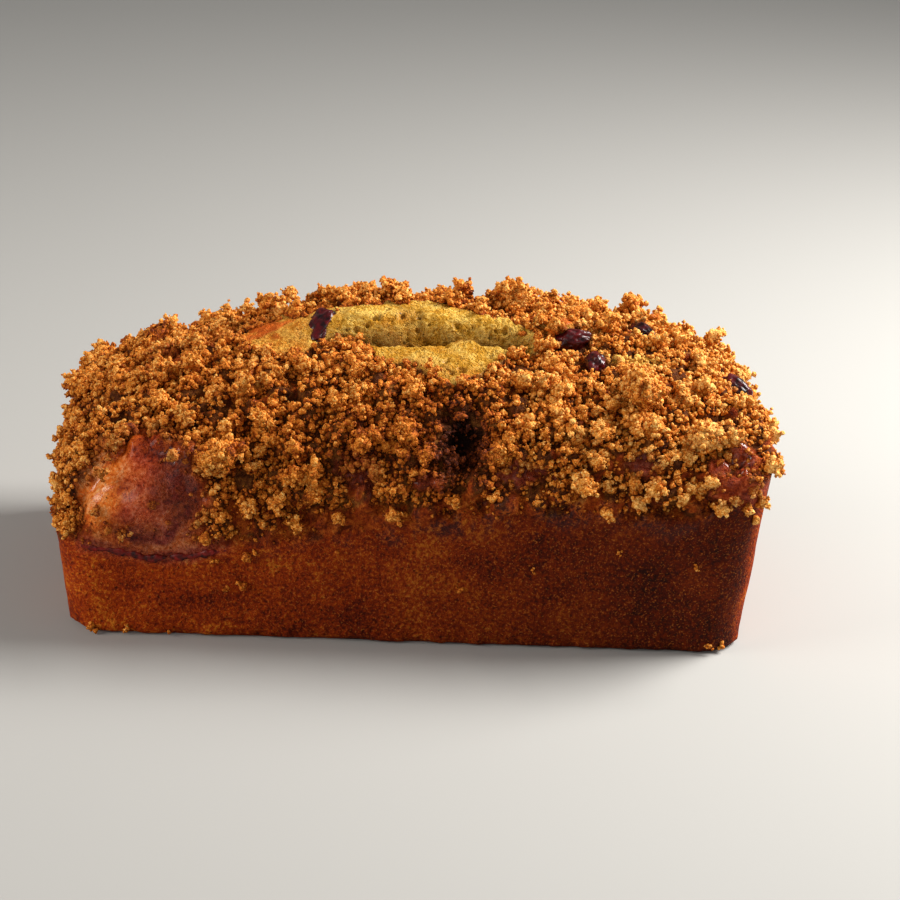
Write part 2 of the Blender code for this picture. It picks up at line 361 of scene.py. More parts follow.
def zones(points):
    # Masks from 0 to 1 for what each place of the skin is
    x, y, z = points.T
    coarse, medium, small = (unevenness(points, grain, seed) for grain, seed in ((7.0, 1), (3.2, 2), (1.7, 3)))
    ragged = 0.20 * coarse + 0.16 * medium + 0.08 * small
    aboveLine = z - tinLine(x, y)
    front, back = (np.interp(x, splitEdges[0], splitEdges[i]) for i in (1, 2))
    within = np.minimum(np.minimum(y - front, back - y), np.minimum(x + 54, 39.5 - x))
    inside = within + 1.1 * medium + 0.8 * small
    torn = smoothStep(-0.8, 0.8, inside) * smoothStep(60, 66, z)
    opened = {name: 1 - smoothStep(0.80, 1.08, spotReach(points, skinSpots, (name,)) + ragged) for name in skinSpots}
    strands = opened["crumbWindow"] * smoothStep(-0.1, 0.15, np.sin(1.9 * y + 0.5 * x) + 2 * small)
    torn = np.maximum.reduce([torn, opened["rightSkin"], strands])
    byFruit = np.min([np.linalg.norm(points - seatOf(name)[0], axis=1) / cherries[name][1] for name in cherries], axis=0)
    golden = torn * np.maximum(1 - smoothStep(-35, -30, x + 4 * medium), opened["rightSkin"])
    scorched = golden * smoothStep(0.15, 0.8, hump(x + 46, 8, y - 1, 8) + hump(x - 47, 3, y + 2, 6) + 0.6 * medium)
    strewn = smoothStep(-0.05, 0.25, unevenness(points, 3.6, 20) + 0.5 * small)
    stainSpots = ("stainLeft", "stainCentre", "stainMiddle", "stainRight")
    frayed = spotReach(points, skinSpots, stainSpots) + 0.55 * medium + 0.30 * small
    stains = 1 - smoothStep(0.62, 1.20, frayed)
    thin = np.maximum.reduce([opened[name] for name in ("belly", "thinLeft", "thinSplit")])
    glazed = np.maximum.reduce([opened[name] for name in skinSpots if name.startswith("glaze")])
    hanging = aboveLine + 2.6 * unevenness(points, 8.0, 4) + 1.3 * medium
    fringe = smoothStep(-0.5, 0.8, hanging)
    # Low on the dome the crumble only clings in patches
    clinging = smoothStep(-0.14, 0.10, unevenness(points, 6.0, 8) + 0.3 * small + 0.85 * smoothStep(0, 17, aboveLine) - 0.30)
    soaked = smoothStep(-7, -1.5, aboveLine + 3 * coarse + medium) * (1 - smoothStep(2, 9, aboveLine))
    soaked = soaked * (0.35 + 0.65 * smoothStep(-30, 10, x))
    soaked = soaked * smoothStep(-0.10, 0.25, coarse + 0.8 * medium + 0.6 * small)
    soaked = soaked * smoothStep(-20, -45, y)
    # Wine red over the mound towards its right: partly juice stain, partly painted shade on the side away from the
    # light from the left
    moundJuice = opened["mound"] * smoothStep(-91, -78, x + 5 * coarse + 3 * medium + 0.2 * (44 - z))
    lees = opened["mound"] * smoothStep(-80, -67, x + 4 * coarse + 2 * medium - 0.15 * (z - 44))
    sagging = sag["depth"] * hump(x - sag["x"], sag["reach"], 0, 1) * smoothStep(-30, -45, y)
    jamSide = smoothStep(-99, -94, x) * (1 - smoothStep(-60, -48, x))
    jamSide = jamSide * smoothStep(4.0, 1.0, np.abs(aboveLine + sagging - 0.5) + 0.8 * medium)
    juice = np.maximum.reduce([moundJuice, 0.7 * glazed * (x > 0), 0.85 * stains, 0.6 * opened["shoulder"], 0.9 * jamSide
                               * smoothStep(-20, -45, y)])
    bare = np.maximum(0.9 * np.maximum(stains, opened["shoulder"]) * (1 - 0.75 * strewn), thin * (1 - 0.35 * strewn))
    moundCrumbs = strewn * (0.12 + 0.7 * smoothStep(-80, -90, x) * np.maximum(smoothStep(42, 34, z), smoothStep(50, 58, z)))
    gaps = smoothStep(-0.20, -0.36, unevenness(points, 6.5, 28)) * (1 - 0.4 * smoothStep(70, 84, z))
    tornBare = torn * (1 - 0.6 * strewn * (1 - smoothStep(1.0, 4.0, inside)))
    bare = np.maximum.reduce([bare, tornBare, opened["mound"] * (1 - moundCrumbs), glazed * (1 - 0.5 * strewn)])
    spots = ("mound", "shoulder", "rightSkin")
    # The crust sinks under the crumble beyond the edge of the split, at its back from just within the edge
    besideSplit = np.where(back - y < y - front, smoothStep(1.4, -2.6, within), smoothStep(0.0, -4.5, within))
    closed = np.minimum(smoothStep(0.85, 1.35, spotReach(points, skinSpots, spots)), besideSplit)
    # The hollow in the crumble: dug into the crust, given fewer bits, and coloured near black as painted shadow
    hole = smoothStep(0.30, 0.75, hump(x - hollow["x"] + 3, 6.5, z - hollow["z"] + 3, 8.0) + 0.22 * medium + 0.12 * small)
    hole = hole * smoothStep(-30, -38, y)
    strewable = (1 - bare) * (1 - 0.85 * gaps) * (1 - 0.7 * hole) * smoothStep(0.42, 0.58, byFruit)
    return {
        "torn": torn,
        "crumb": torn * (1 - golden),
        "low": fringe * (0.4 + 0.6 * clinging) * closed,
        "hole": hole,
        # Painted shade: creases between the crumb's lobes and the crevice under the lip, to be coloured darker
        "crease": torn * np.maximum(0.6 * smoothStep(0.80, 0.45, lobes(points, 9.5, 11)), np.where(
            y > split["y"] - 1.0, openSplit(x, -32, -20, 30, 40) * hump(y - split["y"] - 0.8, 2.2, 0, 1), 0.2)),
        "skin": golden,
        "scorched": scorched,
        "mound": opened["mound"],
        "juice": juice,
        # Dark wine lees at the mound's right, on the stains and along the juice line; the mound is also darker towards
        # its bottom
        "lees": np.maximum.reduce([lees, 0.8 * stains, 0.9 * jamSide, opened["mound"] * smoothStep(43, 35, z)]),
        "soaked": soaked,
        "wet": np.maximum.reduce([juice, 0.8 * opened["mound"], 0.6 * soaked, 0.4 * torn]),
        "domed": smoothStep(-0.4, 0.6, aboveLine + sagging + 1.0 * medium + 0.5 * small),
        "glazed": glazed * smoothStep(-0.3, 0.1, small + 0.5 * medium),
        # Painted light: the right end wall, which keeps the lighter colour of the sides
        "litEndWall": smoothStep(-4.5, -1.0, x - tin["baseLength"] / 2 - tin["flare"] * np.minimum(z, 50)),
        "gaps": gaps,
        # Painted shade: where the crust lies under the crumble
        "under": fringe * clinging * (1 - bare),
        "cover": fringe * clinging * strewable,
        "sandy": smoothStep(-3.0, 1.5, hanging) * (0.45 + 0.55 * clinging) * strewable,
    }


def settling(x, y, z):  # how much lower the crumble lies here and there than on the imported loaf
    shoulder = (2.6 * smoothStep(-60, -76, x) + 2.0 * hump(x + 87, 10, 0, 1)) * smoothStep(-12, 14, y)
    shoulder = shoulder + 3.4 * hump(x - 84, 9, y - 26, 20)
    leftEnd = smoothStep(-90, -103, x) * smoothStep(44, 34, y) * smoothStep(46, 52, z) * smoothStep(62.5, 54, z)
    return shoulder * (1 - leftEnd) - 1.2 * leftEnd


def makeCore():
    along = spacedLines(core["linesAlong"], lambda s: crustPoint(s, s * 0 - 0.2),
                        lambda p: smoothStep(-66, -50, p[:, 0]) * (1 - smoothStep(48, 62, p[:, 0])))
    across = spacedLines(core["linesAcross"], lambda t: crustPoint(t * 0, t),
                         lambda p: smoothStep(-46, -32, p[:, 1]) * (1 - smoothStep(8, 18, p[:, 1])))
    clearSelection()
    bpy.ops.mesh.primitive_grid_add(x_subdivisions=len(along) - 1, y_subdivisions=len(across) - 1, size=2)
    loaf = bpy.context.object
    loaf.name = loaf.data.name = "loafCrust"
    flat = readPoints(loaf) * mm
    s = along[np.rint((flat[:, 0] + 1) / 2 * (len(along) - 1)).astype(int)]
    t = across[np.rint((flat[:, 1] + 1) / 2 * (len(across) - 1)).astype(int)]
    rim = (np.abs(s) > 1 - 1e-9) | (np.abs(t) > 1 - 1e-9)
    points, normals = crustPoint(s, t), crustNormal(s, t)
    x, y, z = points.T
    mask = zones(points)
    relief = lumpRelief(points, lumps["low"]) * (1 - np.maximum(mask["crumb"], mask["skin"]))
    relief = relief + core["swell"] * unevenness(points, core["swellLength"])
    relief = relief - core["hollowDepth"] * mask["hole"]
    knobs = 0.7 * unevenness(points, 2.6, 9) + 0.3 * unevenness(points, 1.3, 10) - 1.2 * mask["gaps"]
    relief = relief - mask["low"] * (core["sunk"] - knobs + settling(x, y, z))
    torn = mask["crumb"]
    foam = 1.9 * lobes(points, 9.5, 11) + 0.6 * lobes(points, 3.4, 12) + 0.35 * unevenness(points, 1.4, 12) - 1.3
    fruit, _, length = seatOf("cherry_left_of_split")
    foam = foam * smoothStep(0.3 * length, 0.9 * length, np.linalg.norm(points - fruit, axis=1))
    relief = relief + torn * (foam - 1.5 * poreDepth(points, 3.6, 13) - 0.6 * poreDepth(points, 1.7, 14))
    blistered = 0.9 * lobes(points, 5.0, 18) + 0.3 * unevenness(points, 1.6, 18) - 0.7 * poreDepth(points, 2.6, 25)
    relief = relief + mask["skin"] * blistered
    swollen = 1.2 * unevenness(points, 9.0, 15) + 0.5 * unevenness(points, 3.5, 16) + 0.2 * unevenness(points, 1.5, 26)
    relief = relief + mask["mound"] * swollen
    slit = openSplit(x, -30, -18, 28, 40) * np.exp(-(((y - split["y"] - 0.8 * np.sin(x / 4.5)) / 1.05) ** 2))
    relief = relief - core["slitDepth"] * slit
    points = points + normals * np.where(rim, 0.0, relief)[:, None]
    # The lip leans back over the crevice, in scallops as torn dough has
    lean = openSplit(x, -30, -14, 28, 42) * np.exp(-(((y - split["y"] + 2.6) / 1.9) ** 2))
    lean = lean * (1.1 + 1.1 * unevenness(points, 6.0, 17) + 0.5 * unevenness(points, 2.4, 19))
    points[:, 1] += 1.7 * lean
    points[:, 2] += 1.0 * lean
    writePoints(loaf, points)
    setMask(loaf, "rimS", s)
    setMask(loaf, "rimT", t)
    addSides(loaf, rim)
    return loaf


def lobes(points, cell, seed):  # rounded lobes from 0 to 1 with creases between them
    shift = Vector((2.3, 6.1, 4.7)) * seed
    nearest = np.array([noise.voronoi(Vector(point) / cell + shift)[0][0] for point in points])
    return np.sqrt(np.maximum(1 - nearest ** 2, 0))


def poreDepth(points, cell, seed):  # open bubbles, about one to a cell, of uneven size
    shift = Vector((3.1, 7.7, 1.9)) * seed
    depth = np.zeros(len(points))
    for index, point in enumerate(points):
        apart, middles = noise.voronoi(Vector(point) / cell + shift)
        size = 0.20 + 0.22 * noise.noise(middles[0] * 3.3)
        depth[index] = 1 - min(max((apart[0] - 0.5 * size) / (0.9 * size + 0.01), 0.0), 1.0) if size > 0.06 else 0.0
    return depth * depth * (3 - 2 * depth)


def selectOnly(piece, verts=None, edges=None):
    mesh = piece.data
    mesh.polygons.foreach_set("select", np.zeros(len(mesh.polygons), bool))
    mesh.edges.foreach_set("select", np.zeros(len(mesh.edges), bool) if edges is None else edges)
    mesh.vertices.foreach_set("select", np.zeros(len(mesh.vertices), bool) if verts is None else verts)


def edgeEnds(piece):
    ends = np.zeros(len(piece.data.edges) * 2, int)
    piece.data.edges.foreach_get("vertices", ends)
    return ends.reshape(-1, 2)


def pickedVerts(piece):
    picked = np.zeros(len(piece.data.vertices), bool)
    piece.data.vertices.foreach_get("select", picked)
    return picked


def extrudeRim(piece, drop):
    bpy.ops.object.mode_set(mode="EDIT")
    bpy.ops.mesh.select_mode(type="EDGE")
    bpy.ops.mesh.extrude_region_move(TRANSFORM_OT_translate={"value": (0, 0, -drop * mm)})
    bpy.ops.object.mode_set(mode="OBJECT")
    return pickedVerts(piece)


def sidePoints(piece, picked, height, inset):
    s, t = readMask(piece, "rimS")[picked].astype(float), readMask(piece, "rimT")[picked].astype(float)
    x, y = outline(s, t, height)
    x = x * (1 - inset / (tin["baseLength"] / 2))
    y = y * (1 - inset / (tin["baseWidth"] / 2))
    return np.stack([x, y, height + 0 * x], axis=-1)


def addSides(piece, rim):
    makeActive(piece)
    ends = edgeEnds(piece)
    s, t = readMask(piece, "rimS"), readMask(piece, "rimT")
    sameSide = (np.abs(s[ends]) > 1 - 1e-6).all(axis=1) | (np.abs(t[ends]) > 1 - 1e-6).all(axis=1)
    selectOnly(piece, rim, rim[ends].all(axis=1) & sameSide)
    # One drop to the top of the foot, cut into bands, each set to the tin's flared wall
    lower = extrudeRim(piece, 20.0)
    points = readPoints(piece)
    points[lower] = sidePoints(piece, lower, tin["footRadius"], 0.0)
    writePoints(piece, points)
    ends = edgeEnds(piece)
    upright = lower[ends].sum(axis=1) == 1
    selectOnly(piece, edges=upright)
    bpy.ops.object.mode_set(mode="EDIT")
    bpy.ops.mesh.select_mode(type="EDGE")
    bpy.ops.mesh.subdivide(number_cuts=core["wallBands"] - 1)
    bpy.ops.object.mode_set(mode="OBJECT")
    points = readPoints(piece)
    onWall = np.zeros(len(points), bool)
    onWall[len(rim):] = True
    onWall[:len(rim)] = rim
    points[onWall] = sidePoints(piece, onWall, points[onWall, 2], 0.0)
    writePoints(piece, points)
    # The round foot, ring by ring, and the flat base
    lowest = np.abs(points[:, 2] - tin["footRadius"]) < 1e-4
    ends = edgeEnds(piece)
    selectOnly(piece, lowest, lowest[ends].all(axis=1))
    for step in range(1, core["footSteps"] + 1):
        turn = math.pi / 2 * step / core["footSteps"]
        ring = extrudeRim(piece, 0.5)
        points = readPoints(piece)
        inset = tin["footRadius"] * (1 - math.cos(turn))
        points[ring] = sidePoints(piece, ring, tin["footRadius"] * (1 - math.sin(turn)), inset)
        writePoints(piece, points)
        if step < core["footSteps"]:
            selectOnly(piece, ring, ring[edgeEnds(piece)].all(axis=1))
    bpy.ops.object.mode_set(mode="EDIT")
    bpy.ops.mesh.edge_face_add()
    bpy.ops.mesh.select_all(action="SELECT")
    bpy.ops.mesh.normals_make_consistent(inside=False)
    bpy.ops.mesh.select_all(action="DESELECT")
    bpy.ops.object.mode_set(mode="OBJECT")
    # Baked against metal the sides are nearly smooth: slow waves, and a crumbly lower edge
    points = readPoints(piece)
    wall = np.zeros(len(points), bool)
    wall[len(rim):] = True
    side = points[wall]
    outward = np.stack([side[:, 0] / 110, side[:, 1] / 55, 0 * side[:, 0]], axis=-1) ** 5
    outward = outward / np.maximum(np.linalg.norm(outward, axis=1, keepdims=True), 1e-9)
    fade = smoothStep(0.0, 4.0, tinLine(side[:, 0], side[:, 1]) - side[:, 2])
    waves = 0.45 * unevenness(side, 16.0, 21) + 0.16 * unevenness(side, 3.0, 22)
    nibbled = 1 - smoothStep(0.0, 5.0, side[:, 2])
    ragged = 1.3 * unevenness(side, 6.0, 23) + 0.8 * unevenness(side, 2.2, 24)
    upFromBase = smoothStep(0.0, 0.6, side[:, 2])
    side = side + outward * (fade * (waves + nibbled * ragged) * upFromBase)[:, None]
    points[wall] = side
    writePoints(piece, points)


loafCrust = makeCore()
corePoints = readPoints(loafCrust)
coreZones = zones(corePoints)
print("loaf shaped:", len(loafCrust.data.polygons), "faces", corePoints.min(0).round(1), corePoints.max(0).round(1))


# Crumble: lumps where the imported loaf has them, then ever smaller bits, each kind on all before it

crumble = {
    "lumpShrink": (1.6, 0.12),  # room that the bits take round a lump, and more of it round a big one
    "lumpLift": 0.08,
    "reliefLength": 14,       # how many neighbours tell whether a bit stands out or lies in a gap
    "seed": 11,
}
# How far apart, sizes, the most bits, how far above the tin line, how far they stand out, what a bit is
# made from, and whether others sit on them
bitKinds = {
    "crumbleClods": (3.6, (2.8, 5.9), 1900, 15, (0.0, 0.40), "ball", True),
    "crumbleNodules": (2.0, (1.5, 2.8), 9800, 7, (-0.10, 0.50), "ball", True),
    "crumblePebbles": (1.5, (1.1, 2.0), 9800, 2, (-0.10, 0.50), "ball", False),
    "crumbleGranules": (1.1, (0.7, 1.4), 16400, 0, (-0.10, 0.60), "cube", False),
    "crumbleGrains": (0.8, (0.4, 0.85), 24600, 0, (0.0, 0.60), "chip", False),
}

# Single clumps that catch the eye along the lower fringe: place and size
fringeClumps = [
    ((72.4, -55.0, 56.0), 7.2),
    ((92.2, -55.5, 50.0), 6.4),
    ((80.5, -55.0, 53.0), 4.8),
    ((-34.0, -52.5, 54.4), 7.5),
    ((108.5, -44.0, 60.0), 6.0),
    ((59.0, -55.0, 47.5), 5.0),
    ((101.0, -52.5, 58.0), 6.0),
    ((-4.0, 7.5, 89.5), 6.5),
    ((20.0, 5.0, 89.5), 6.0),
    ((-21.0, -12.5, 81.5), 6.5),
    ((39.0, -11.0, 83.0), 6.0),
    ((-7.5, 14.0, 91.2), 7.5),
    ((14.5, 17.0, 90.4), 8.0),
    ((101.0, -53.6, 55.5), 5.2),
    ((99.8, -53.8, 49.8), 5.0),
    ((102.9, -50.9, 45.2), 4.4),
    ((104.2, -51.2, 51.0), 4.8),
    ((96.0, -54.9, 52.6), 5.0),
    ((88.5, -54.5, 57.5), 5.0),
    ((58.0, 18.0, 86.5), 6.0),
    ((68.0, 22.0, 86.0), 7.0),
    ((93.5, 14.0, 79.5), 6.5),
    ((-87.0, -55.5, 36.5), 4.2),
    ((-83.0, -56.0, 34.5), 3.6),
    ((-91.0, -54.0, 41.5), 4.6),
    ((-80.5, -57.0, 36.0), 3.2),
    ((-89.0, -53.0, 53.5), 4.4),
    ((-68.0, -52.0, 59.0), 4.8),
    ((-46.0, 12.0, 86.0), 7.0),
    ((-39.5, 18.0, 86.5), 6.0),
    ((-53.0, 16.0, 82.5), 5.5),
    ((-105.0, -3.0, 53.0), 7.0),
    ((-106.0, -12.0, 47.5), 6.5),
]
lowPlaces = [(-81.0, 14.0, 79.0)]
# Stray crumbs on the lower sides, each a few bits: place along the front, height and size
strayCrumbs = [
    (-59.0, 34.6, 4.2), (-56.0, 26.8, 2.4), (-46.5, 28.5, 4.0), (-48.7, 18.5, 2.6), (16.8, 19.4, 2.0),
    (-83.0, 1.4, 2.4), (-93.0, 2.4, 3.0), (-70.0, 1.2, 1.8), (63.0, 34.0, 1.8), (38.0, 27.0, 1.5),
    (86.0, 30.0, 1.8), (-20.0, 31.0, 1.8), (92.0, 3.0, 2.2), (98.0, 2.4, 2.8), (-53.0, 17.0, 1.8),
]

chance = np.random.default_rng(crumble["seed"])


def shapeOf(ball, knobs, seed):
    points = readPoints(ball) * mm
    points = points / np.linalg.norm(points, axis=1, keepdims=True) * 0.5
    faces = np.array([list(face.vertices) for face in ball.data.polygons])
    bpy.data.objects.remove(ball)
    bumps = knobs * unevenness(points, 0.55, seed) + 0.5 * knobs * unevenness(points, 0.25, seed + 0.5)
    return points * (1 + bumps)[:, None], faces


def roundShape(rounds, knobs, seed):  # an uneven ball one unit across, as points and faces
    clearSelection()
    bpy.ops.mesh.primitive_ico_sphere_add(subdivisions=rounds, radius=0.5)
    return shapeOf(bpy.context.object, knobs, seed)


def bitShape(source, seed):  # a broken bit: 20 faces from a ball, 12 from a cube or 8 from a chip
    clearSelection()
    if source == "ball":
        bpy.ops.mesh.primitive_ico_sphere_add(subdivisions=1, radius=0.5)
    elif source == "cube":
        bpy.ops.mesh.primitive_cube_add(size=1)
        bpy.ops.object.mode_set(mode="EDIT")
        bpy.ops.mesh.quads_convert_to_tris()
        bpy.ops.object.mode_set(mode="OBJECT")
    else:
        bpy.ops.mesh.primitive_cone_add(vertices=4, radius1=0.5, depth=0.4, end_fill_type="TRIFAN")
    return shapeOf(bpy.context.object, 0.6, seed)


def randomTurns(count):
    quats = chance.normal(size=(count, 4))
    w, x, y, z = (quats / np.linalg.norm(quats, axis=1, keepdims=True)).T
    rows = [[1 - 2 * (y * y + z * z), 2 * (x * y - z * w), 2 * (x * z + y * w)],
            [2 * (x * y + z * w), 1 - 2 * (x * x + z * z), 2 * (y * z - x * w)],
            [2 * (x * z - y * w), 2 * (y * z + x * w), 1 - 2 * (x * x + y * y)]]
    return np.array(rows).transpose(2, 0, 1)


def joinedCopies(name, shapes, places, sizes, stretch=(0.78, 1.22)):
    # One mesh of many copies, each turned and stretched by chance; also tells whose each point is
    pick = chance.integers(len(shapes), size=len(places))
    pointSets, faceSets, owners, first = [], [], [], 0
    for index, (points, faces) in enumerate(shapes):
        mine = np.where(pick == index)[0]
        grown = points[None] * chance.uniform(*stretch, (len(mine), 1, 3)) * sizes[mine, None, None]
        turned = np.einsum("nij,nvj->nvi", randomTurns(len(mine)), grown) + places[mine, None]
        starts = first + len(points) * np.arange(len(mine))
        pointSets.append(turned.reshape(-1, 3))
        faceSets.append((faces[None] + starts[:, None, None]).reshape(-1, faces.shape[1]))
        owners.append(np.repeat(mine, len(points)))
        first += len(points) * len(mine)
    mesh = bpy.data.meshes.new(name)
    mesh.from_pydata(np.concatenate(pointSets) * mm, [], np.concatenate(faceSets).tolist())
    mesh.shade_smooth()
    piece = bpy.data.objects.new(name, mesh)
    bpy.context.scene.collection.objects.link(piece)
    return piece, np.concatenate(owners)


def placesOn(host, spacing, seed):
    # Points spread over a piece where its cover mask allows, never nearer than the spacing
    tree = bpy.data.node_groups.new("crumblePlaces", "GeometryNodeTree")
    tree.interface.new_socket("Geometry", in_out="OUTPUT", socket_type="NodeSocketGeometry")
    source = addNode(tree, "GeometryNodeObjectInfo", {"Object": host}, "Geometry")
    cover = addNode(tree, "GeometryNodeInputNamedAttribute", {"Name": "cover"}, data_type="FLOAT")
    spread = addNode(tree, "GeometryNodeDistributePointsOnFaces",
                     {"Mesh": source, "Distance Min": spacing * mm, "Density Max": 4 / (spacing * mm) ** 2,
                      "Density Factor": cover, "Seed": seed}, "Points", distribute_method="POISSON")
    normal = spread.node.outputs["Normal"]
    upright = addNode(tree, "GeometryNodeStoreNamedAttribute", {"Geometry": spread, "Name": "upright", "Value": normal},
                      data_type="FLOAT_VECTOR", domain="POINT")
    corners = addNode(tree, "GeometryNodePointsToVertices", {"Points": upright})
    addNode(tree, "NodeGroupOutput", {0: corners})
    holder = bpy.data.objects.new("places", bpy.data.meshes.new("places"))
    bpy.context.scene.collection.objects.link(holder)
    holder.modifiers.new("spread", "NODES").node_group = tree
    makeActive(holder)
    bpy.ops.object.modifier_apply(modifier="spread")
    points = readPoints(holder)
    normals = np.zeros(len(points) * 3)
    if len(points):
        holder.data.attributes["upright"].data.foreach_get("vector", normals)
    bpy.data.objects.remove(holder)
    bpy.data.node_groups.remove(tree)
    return points, normals.reshape(-1, 3)


def heightAbove(points):  # height of each place over the crust, below it negative
    heights = np.zeros(len(points))
    for index, point in enumerate(points):
        spot = Vector(point) * mm
        near, normal, _, _ = crustTree.find_nearest(spot)
        heights[index] = (spot - near).dot(normal) / mm
    return heights


def treeOf(places):
    tree = KDTree(len(places))
    for index, place in enumerate(places):
        tree.insert(place, index)
    tree.balance()
    return tree


def buried(points, owner, places, reaches):  # whether a point lies inside another bit than its own
    tree = treeOf(places)
    inside = np.zeros(len(points), bool)
    for index, point in enumerate(points):
        for _, other, apart in tree.find_n(point, 4):
            if other != owner[index] and apart < reaches[other]:
                inside[index] = True
                break
    return inside


def inLumps(points, owner):
    inside = np.zeros(len(points), bool)
    for index, (middle, size) in enumerate(zip(lumpMiddles, lumpSizes)):
        near = np.where(np.abs(points - middle).max(axis=1) < 0.42 * size)[0]
        near = near[np.linalg.norm(points[near] - middle, axis=1) < 0.42 * size]
        inside[near[owner[near] != index]] = True
    return inside


def makeLumps():
    shapes = [roundShape(3, 0.75, seed) for seed in range(8)]
    piece, owner = joinedCopies("crumbleLumps", shapes, lumpMiddles, lumpSizes)
    points = readPoints(piece)
    setMask(piece, "cover", (heightAbove(points) > -0.3) & ~inLumps(points, owner))
    setMask(loafCrust, "cover", coreZones["cover"] * ~inLumps(corePoints, np.full(len(corePoints), -1)))
    setMask(piece, "tone", chance.random(len(lumpMiddles))[owner])
    return piece, owner


def makeBits(name, seed, hosts):
    spacing, (smallest, largest), most, high, lift, source, holdsBits = bitKinds[name]
    found = [placesOn(host, spacing, seed + index) for index, host in enumerate(hosts)]
    places, ups = (np.concatenate([one[i] for one in found]) for i in (0, 1))
    onCrumble = np.concatenate([np.full(len(one[0]), index > 0) for index, one in enumerate(found)])
    above = places[:, 2] - tinLine(places[:, 0], places[:, 1]) + 12 * onCrumble
    clustered = unevenness(places, 7.0, 27) > 0.05 - 0.22 * chance.random(len(places))
    kept = (above > high * chance.random(len(places))) & (clustered | (high < 10))
    kept = chance.permutation(np.where(kept)[0])[:most]
    places, ups = places[kept], ups[kept]
    sizes = smallest + (largest - smallest) * chance.random(len(places)) ** 1.5
    places = places + ups * (sizes * chance.uniform(*lift, len(places)))[:, None]
    piece, owner = joinedCopies(name, [bitShape(source, seed + i) for i in range(8)], places, sizes)
    points = readPoints(piece)
    if holdsBits:
        hidden = buried(points, owner, places, 0.36 * sizes) | inLumps(points, np.full(len(points), -1))
        setMask(piece, "cover", (heightAbove(points) > -0.2) & ~hidden)
    setMask(piece, "tone", chance.random(len(places))[owner])
    print(name, len(above), "places,", len(places), "bits,", len(piece.data.polygons), "faces")
    return piece, places, owner


def standingOut(points, places, owner):  # 1 for tips, 0 in the gaps between the clumps
    around = np.array([fieldHeights[[other for _, other, _ in fieldTree.find_n(place, crumble["reliefLength"])]].mean()
                       for place in places])
    return smoothStep(-1.9, 1.9, heightAbove(points) - around[owner])


crustTree = BVHTree.FromObject(loafCrust, bpy.context.evaluated_depsgraph_get())
standing = [(point + normal * (crumble["lumpLift"] * size - settling(*point)), size)
            for kind in ("big", "perched") for point, normal, size in lumps[kind]]
# Lumps that stand lower in the photo are left to the bits, and low on the front the clumps are smaller
standing = [(middle, size) for middle, size in standing
            if min(np.linalg.norm(middle - np.array(place)) for place in lowPlaces) > 8]
standing = [(middle, size * (1 - 0.3 * float(smoothStep(15, 6, middle[2] - tinLine(middle[0], middle[1])))
                             * (middle[1] < -30))) for middle, size in standing]
standing += [(np.array(point), size) for point, size in fringeClumps]
lumpMiddles = np.array([middle for middle, _ in standing])
lumpSizes = np.array([size * (1 - crumble["lumpShrink"][1]) - crumble["lumpShrink"][0] for _, size in standing])
crumbleLumps, lumpOwner = makeLumps()
bits = [(crumbleLumps, lumpMiddles, lumpOwner)]
for index, name in enumerate(bitKinds):
    if not bitKinds[name][-1]:
        setMask(loafCrust, "cover", coreZones["sandy"] * ~inLumps(corePoints, np.full(len(corePoints), -1)))
    hosts = [piece for piece, _, _ in bits if "cover" in piece.data.attributes]
    bits.append(makeBits(name, 10 * (index + 1), [loafCrust, *hosts] if index else [loafCrust]))
fieldPlaces = np.concatenate([places for piece, places, _ in bits if "cover" in piece.data.attributes])
fieldHeights = heightAbove(fieldPlaces)
fieldTree = treeOf(fieldPlaces)


def makeStrays():  # little heaps of bits on the lower sides and at the foot
    places, sizes = [], []
    for x, z, size in strayCrumbs:
        s = x / (tin["baseLength"] / 2 + tin["flare"] * z)
        wallX, wallY = (float(one[0]) for one in outline(np.array([s]), np.array([-1.0]), z))
        for _ in range(int(3 + 2 * size)):
            off = chance.normal(size=3) * size * 0.24
            places.append([wallX + off[0], wallY - 0.16 * size + 0.5 * off[1], max(z + off[2], 1.2)])
            sizes.append(size * chance.uniform(0.30, 0.56))
    shapes = [roundShape(2, 0.6, 90 + i) for i in range(5)]
    piece, owner = joinedCopies("strayCrumbs", shapes, np.array(places), np.array(sizes))
    setMask(piece, "tone", chance.random(len(places))[owner])
    # Painted light and shade: the stray crumbs all get the middle tone
    setMask(piece, "tipLightGapShade", np.full(len(owner), 0.6))
    return piece


strays = makeStrays()


def juiceReach(points):  # how much cherry juice reached each place, from 0 to 1
    juice = np.zeros(len(points))
    for name in cherries:
        middle, _, length = seatOf(name)
        apart = np.linalg.norm(points - middle, axis=1)
        juice = np.maximum(juice, 0.9 * (1 - smoothStep(0.42 * length, 0.75 * length, apart)))
    spots = spotReach(points, skinSpots, ("mound", "stainLeft", "stainCentre", "stainMiddle", "stainRight", "shoulder"))
    ruddy = spotReach(points, skinSpots, ("thinLeft", "thinSplit", "glazeRight", "glazeFront"))
    juice = np.maximum(juice, 0.35 * (1 - smoothStep(0.8, 1.4, ruddy)))
    return np.maximum(juice, 0.5 * (1 - smoothStep(0.9, 1.2, spots)))


